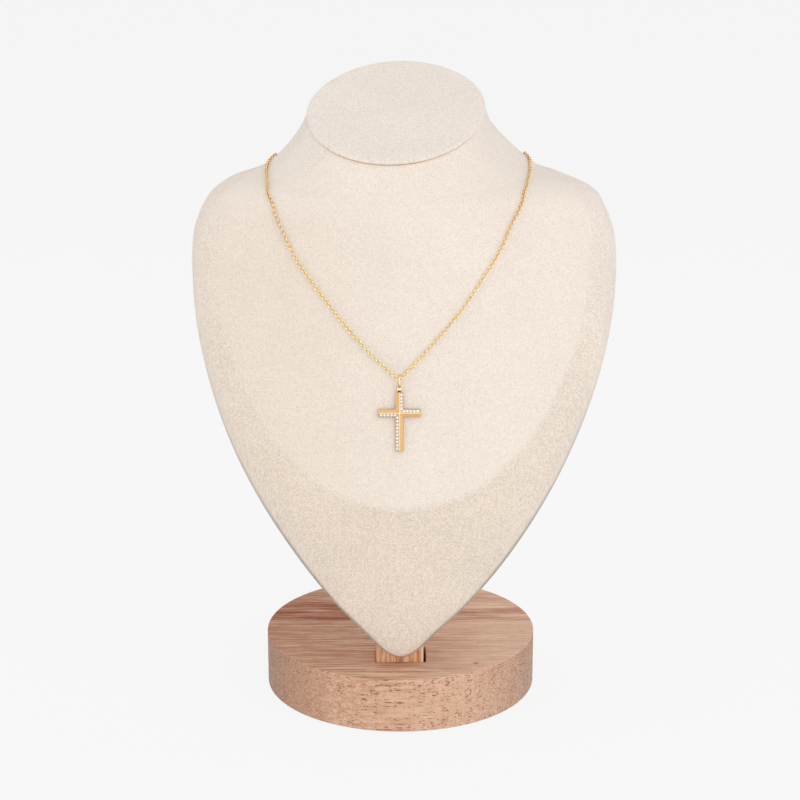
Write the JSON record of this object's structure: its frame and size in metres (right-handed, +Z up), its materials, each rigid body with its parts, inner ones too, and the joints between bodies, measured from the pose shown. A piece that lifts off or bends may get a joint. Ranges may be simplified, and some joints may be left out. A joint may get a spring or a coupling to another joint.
{
  "type": "cross necklace on neck bust",
  "caption": "Fine gold chain with a ridged, stone-set cross pendant, laid round a linen-covered neck bust that stands on a post in a round wooden foot.",
  "frame": {"origin": "centre of the wooden foot's underside", "axes": "+Z up; the bust faces -Y; +X is to the right as seen from the front"},
  "size_m": [0.2013, 0.13, 0.2942],
  "materials": {
    "foot_wood": "matt, sealed pale hardwood",
    "post_wood": "matt, sealed pale hardwood",
    "linen": "plain fine weave",
    "cap_linen": "plain fine weave",
    "chain_gold": "polished, gold plated",
    "clasp_gold": "polished, gold plated",
    "ring_gold": "polished, gold plated",
    "cross_gold": "polished, gold plated",
    "stone": "cut, clear"
  },
  "bodies": {
    "stand": {"base": "foot_wood", "post": "post_wood", "bust": "linen", "neck_cap": "cap_linen", "chain": "chain_gold", "clasp": "clasp_gold", "jump_ring": "ring_gold"},
    "pendant": {"cross": "cross_gold", "stone_01": "stone", "stone_02": "stone", "stone_03": "stone", "stone_04": "stone", "stone_05": "stone", "stone_06": "stone", "stone_07": "stone", "stone_08": "stone", "stone_09": "stone", "stone_10": "stone", "stone_11": "stone", "stone_12": "stone", "stone_13": "stone", "stone_14": "stone", "stone_15": "stone", "stone_16": "stone", "stone_17": "stone", "stone_18": "stone", "stone_19": "stone", "stone_20": "stone", "stone_21": "stone", "stone_22": "stone", "stone_23": "stone", "stone_24": "stone", "stone_25": "stone"}
  },
  "joints": [
    {"name": "pendant_swing", "type": "hinge", "parent": "stand", "child": "pendant", "pos_m": [-0.00052, -0.03185, 0.1581], "axis": [-1, 0, 0], "range_deg": [0, 75]}
  ]
}
